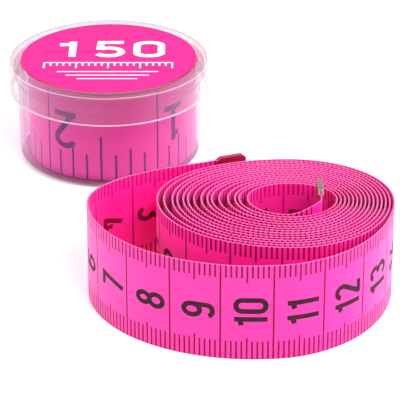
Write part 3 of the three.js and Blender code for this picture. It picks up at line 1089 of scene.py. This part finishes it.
TURN_HIGHLIGHT_BAND = (0.38, 0.66)  # heights above the start of the lid's corner, where a highlight is painted
SKIRT_HIGHLIGHT_ZONE = (0.8, 0.2)  # width and height of the skirt's cut edge, which carries a painted highlight
HAIR = 0.01
CLEAR_PART, FROSTED_RIM, SKIRT_PAINTED_HIGHLIGHT, TURN_PAINTED_HIGHLIGHT, STEP_PAINTED_REFLECTION = range(5)


def lid_index(a, b):
    """Frosted round the rim, with painted highlights in its turn and along the skirt's cut edge, clear
    elsewhere.

    The step down to the label takes on a painted reflection of the label's pink.
    """
    radii, heights = zip(a, b)
    corner_start = LID_TOP - LID_CORNER
    if max(heights) < SKIRT_BOTTOM + SKIRT_HIGHLIGHT_ZONE[1] and min(radii) > LID_RADIUS - SKIRT_HIGHLIGHT_ZONE[0]:
        return SKIRT_PAINTED_HIGHLIGHT
    middle = sum(heights) / 2 - corner_start
    if min(radii) > LID_RADIUS - LID_CORNER and TURN_HIGHLIGHT_BAND[0] < middle < TURN_HIGHLIGHT_BAND[1]:
        return TURN_PAINTED_HIGHLIGHT
    if min(heights) < corner_start - HAIR:
        return CLEAR_PART
    step_end = LID_RADIUS - LID_RIM_WIDTH + LID_RIM_HEIGHT
    return STEP_PAINTED_REFLECTION if max(radii) < step_end else FROSTED_RIM


def case_lid():
    """Lid with a long skirt, a rounded corner and a raised rim round the label's seat."""
    rim_inner = LID_RADIUS - LID_RIM_WIDTH
    fillet, edge, corner, rim = LID_INNER_FILLET, SKIRT_EDGE, LID_CORNER, LID_RIM_HEIGHT
    profile = [(0, LID_UNDERSIDE)]
    rounded(profile, LID_INNER_RADIUS - fillet, LID_UNDERSIDE - fillet, fillet, 1, 0)
    rounded(profile, LID_INNER_RADIUS + edge, SKIRT_BOTTOM + edge, edge, 2, 3, EDGE_ARC_STEPS)
    rounded(profile, LID_RADIUS - edge, SKIRT_BOTTOM + edge, edge, -1, 0, EDGE_ARC_STEPS)
    rounded(profile, LID_RADIUS - corner, LID_TOP - corner, corner, 0, 1)
    rounded(profile, rim_inner + rim, LID_TOP - rim, rim, 1, 2)
    profile.append((0, LABEL_SEAT))
    return lathe("case_top", profile, [CLEAR, FROSTED_PAINTED_PINK, SKIRT_PAINTED_HIGHLIGHT_PLASTIC, GLINT, STEP_LABEL_REFLECTION_PLASTIC], lid_index)


# Label: a plain disc with the tape's length in centimetres, a short ruler and three plain lines
LABEL_BEVEL = 0.05
LABEL_DIGIT_WIDTH = 5.4
LABEL_DIGIT_HEIGHT = 7.6
LABEL_STROKE = 1.6
LABEL_ADVANCE = 8.8
LABEL_NUMBER_Y = 4.6
RULER_Y = -3
RULER_REACH = 14
RULER_STEP = 1.4
RULER_LONG_EVERY = 5
RULER_LONG = 3
RULER_SHORT = 1.7
RULER_LINE = 0.4
PLAIN_LINES = [(-8, 11), (-9.9, 9), (-11.8, 6.5)]  # place and reach


def lid_label():
    radius = LID_RADIUS - LID_RIM_WIDTH - LABEL_EDGE_GAP
    top = LABEL_SEAT + LABEL_THICKNESS
    profile = [(0, LABEL_SEAT), (radius, LABEL_SEAT)]
    profile += [(radius, top - LABEL_BEVEL), (radius - LABEL_BEVEL, top), (0, top)]

    # The label's side and bevel take the painted shadow
    def in_cut_edge(a, b):
        return int(min(a[0], b[0]) > 0)

    return lathe("case_label", profile, [LABEL, LABEL_EDGE_PAINTED_SHADOW], in_cut_edge)


def label_print():
    """White print on the label, each stroke a thin film sunk half into its face."""
    top = LABEL_SEAT + LABEL_THICKNESS

    def placed(shift_x, shift_y):
        def place(edge, depth):
            z = np.full(len(edge), top + depth)
            return np.column_stack([edge[:, 0] + shift_x, edge[:, 1] + shift_y, z]) * MM

        return place

    def bar(x0, y0, x1, y1, height=PRINT_DEPTH / 2):
        line = np.array([(x0, y0), (x1, y1)], float)
        return film(*stroke_outline(line, RULER_LINE / 2), placed(0, 0), height)

    glyphs = glyph_parts(LABEL_DIGIT_WIDTH, LABEL_DIGIT_HEIGHT, LABEL_STROKE, STROKE_STEP)
    number = str(TAPE_LENGTH // CM)
    parts = []
    for i, digit in enumerate(number):
        place = placed((i - (len(number) - 1) / 2) * LABEL_ADVANCE, LABEL_NUMBER_Y)
        parts += films(glyphs[digit], place)
    parts.append(bar(-RULER_REACH, RULER_Y, RULER_REACH, RULER_Y, PRINT_DEPTH / 2 + PRINT_STAGGER))
    count = round(RULER_REACH / RULER_STEP)
    for i in range(-count, count + 1):
        x = i * RULER_STEP
        reach = RULER_SHORT if i % RULER_LONG_EVERY else RULER_LONG
        parts.append(bar(x, RULER_Y, x, RULER_Y - reach))
    parts += [bar(-reach, y, reach, y) for y, reach in PLAIN_LINES]
    return flat_shaded(joined("case_label_print", [parts], [WHITE]))


cup, top, label = case_base(), case_lid(), lid_label()
for piece, node, slot, body in (
    (cup, "case_base", "clear_plastic", "case"),
    (top, "case_lid", "clear_plastic", "lid"),
    (label, "lid_label", "printed_label", "lid"),
):
    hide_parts(node)
    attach(piece, body)
label_ink = label_print()
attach(label_ink, "lid")

for piece, print_piece, node, body, held, rests_on in (
    (loose_tape, loose_print, "loose_tape", "loose_coil", "laid", ["floor"]),
    (cased_tape, cased_print, "cased_tape", "cased_roll", "folded", ["case_base"]),
):
    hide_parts(node)
    for part in (piece, print_piece):
        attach(part, body)
    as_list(rests_on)


# Floor, lights and camera
FLOOR_REACH = 4000
FLOOR_DROP = 0.02
FLOOR_GREYS = ((0.9, 0.9, 0.9), (0.92, 0.92, 0.92))


def floor():
    material, tree, shader = new_material("floor")
    shade = noise(tree, mapped(tree, EVEN, "Object"), scale=3.0, detail=2.0)
    link(tree, ramp(tree, shade, *FLOOR_GREYS), shader.inputs["Base Color"])
    set_inputs(
        shader,
        Roughness=0.12,
        IOR=1.3,
        Emission_Color=(1, 1, 1, 1),
        Emission_Strength=0.2,
    )
    corners = ((-1, -1), (1, -1), (1, 1), (-1, 1))
    points = [(x * FLOOR_REACH * MM, y * FLOOR_REACH * MM, 0) for x, y in corners]
    obj = mesh_object("floor", points, [(0, 1, 2, 3)], [material])
    obj.location.z = -FLOOR_DROP * MM


def softbox(name, place, size, power, colour):
    """Oblong area light that faces the middle of the set."""
    light = bpy.data.lights.new(name, "AREA")
    light.shape = "RECTANGLE"
    light.size, light.size_y = (s * MM for s in size)
    light.energy = power
    light.color = colour
    obj = bpy.data.objects.new(name, light)
    obj.location = Vector(place) * MM
    obj.rotation_euler = (CAMERA_TARGET - Vector(place)).to_track_quat("-Z", "Y").to_euler()
    bpy.context.scene.collection.objects.link(obj)


CAMERA_TARGET = Vector((20.07, -44.07, 9.5))
CAMERA_DISTANCE = 480
CAMERA_ELEVATION = math.radians(26.5)
CAMERA_LENS = 209.95
CAMERA_SENSOR = 36
CAMERA_CLIP = 10
PURE_WHITE = (1, 1, 1)
LILAC = (0.88, 0.86, 0.96)
SOFTBOXES = {  # place, size, power and colour
    "left_box": ((-540, -60, 200), (300, 150), 1.9, LILAC),
    "right_box": ((580, -120, 200), (300, 150), 1.7, LILAC),
    "key_box": ((260, -330, 480), (420, 120), 3.0, PURE_WHITE),
}

floor()
for name, settings in SOFTBOXES.items():
    softbox(name, *settings)

world = bpy.data.worlds.new("studio")
world.use_nodes = True
set_inputs(world.node_tree.nodes["Background"], Color=(*PURE_WHITE, 1), Strength=0.8)
bpy.context.scene.world = world
bpy.context.scene.view_settings.view_transform = "Standard"

camera = bpy.data.cameras.new("camera")
camera.lens = CAMERA_LENS
camera.sensor_width = CAMERA_SENSOR
camera.clip_start = CAMERA_CLIP * MM
camera_object = bpy.data.objects.new("camera", camera)
back = Vector((0, -math.cos(CAMERA_ELEVATION), math.sin(CAMERA_ELEVATION)))
camera_object.location = (CAMERA_TARGET + back * CAMERA_DISTANCE) * MM
camera_object.rotation_euler = (-back).to_track_quat("-Z", "Y").to_euler()
bpy.context.scene.collection.objects.link(camera_object)
bpy.context.scene.camera = camera_object
